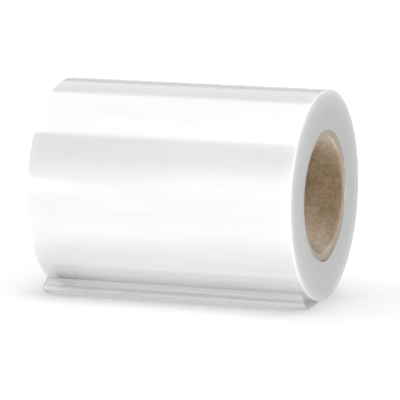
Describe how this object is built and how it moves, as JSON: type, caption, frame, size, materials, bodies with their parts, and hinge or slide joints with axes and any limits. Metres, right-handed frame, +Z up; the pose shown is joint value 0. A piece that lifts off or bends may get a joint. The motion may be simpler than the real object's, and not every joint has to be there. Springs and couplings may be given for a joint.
{
  "type": "sealing film roll",
  "caption": "Roll of clear sealing film wound on a cardboard core, lying on its side with the web's loose end curled up in front of it.",
  "frame": {"origin": "on the axis of the core's bore, at the middle of its length", "axes": "+X along the roll's axis, +Z up from the floor that the roll lies on; the web's loose end lies towards -Y"},
  "size_m": [0.1825, 0.1364, 0.1363],
  "materials": {
    "core_board": "matte",
    "film_web": "gloss"
  },
  "bodies": {
    "root": {"core": "core_board", "film": "film_web"}
  },
  "joints": []
}
